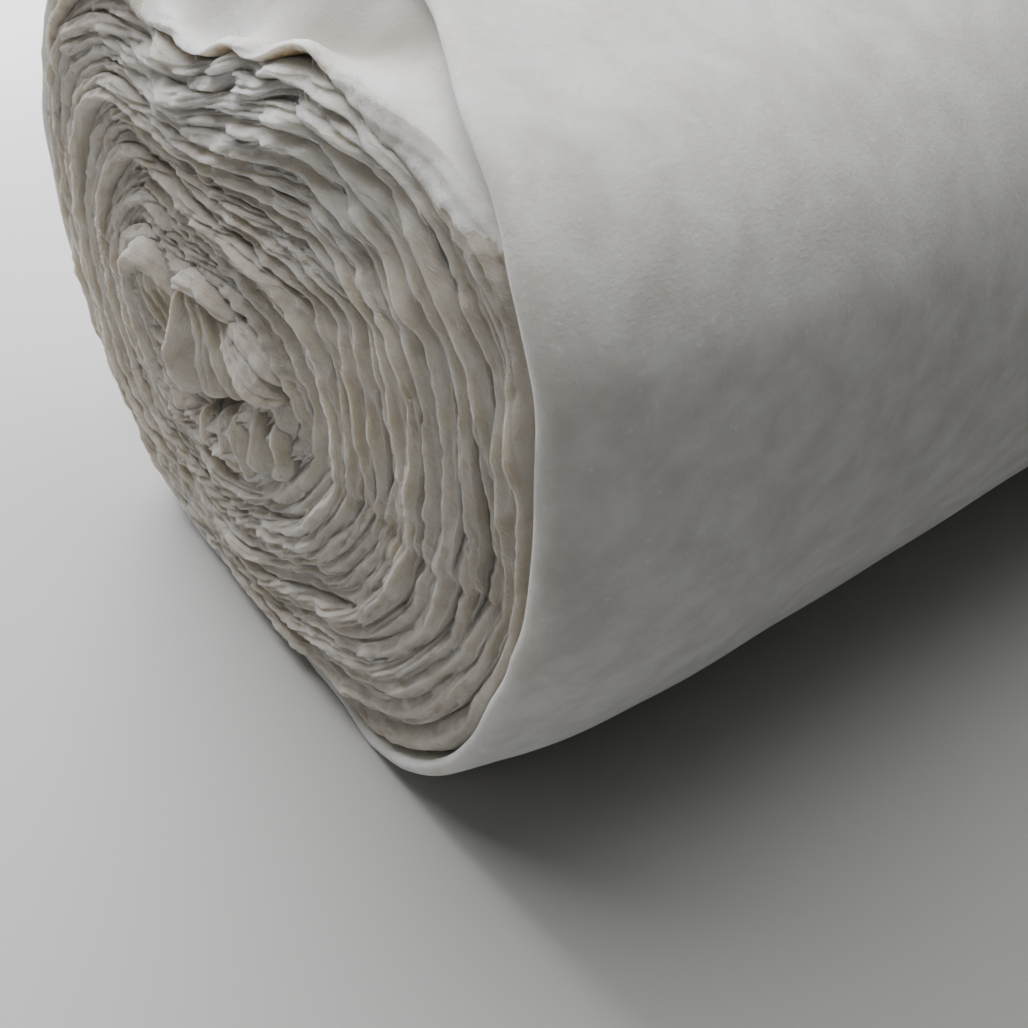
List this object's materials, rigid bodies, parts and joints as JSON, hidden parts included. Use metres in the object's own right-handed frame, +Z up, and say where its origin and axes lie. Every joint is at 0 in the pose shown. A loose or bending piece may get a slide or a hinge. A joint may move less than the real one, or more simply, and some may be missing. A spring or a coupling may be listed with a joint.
{
  "type": "roll of polyester wadding",
  "caption": "Large soft roll of white polyester wadding lying on its side, squashed by its own weight, with its wound turns showing at the ends.",
  "frame": {"origin": "middle of the roll's footprint on the surface that it lies on", "axes": "+Z up, +X along the roll's length away from the end whose crumpled turns show, +Y towards the side where the sheet's outer end lies"},
  "size_m": [1.523, 0.5836, 0.4458],
  "materials": {
    "wadding": "soft matte fibre"
  },
  "bodies": {
    "root": {"wadding_roll": "wadding"}
  },
  "joints": []
}
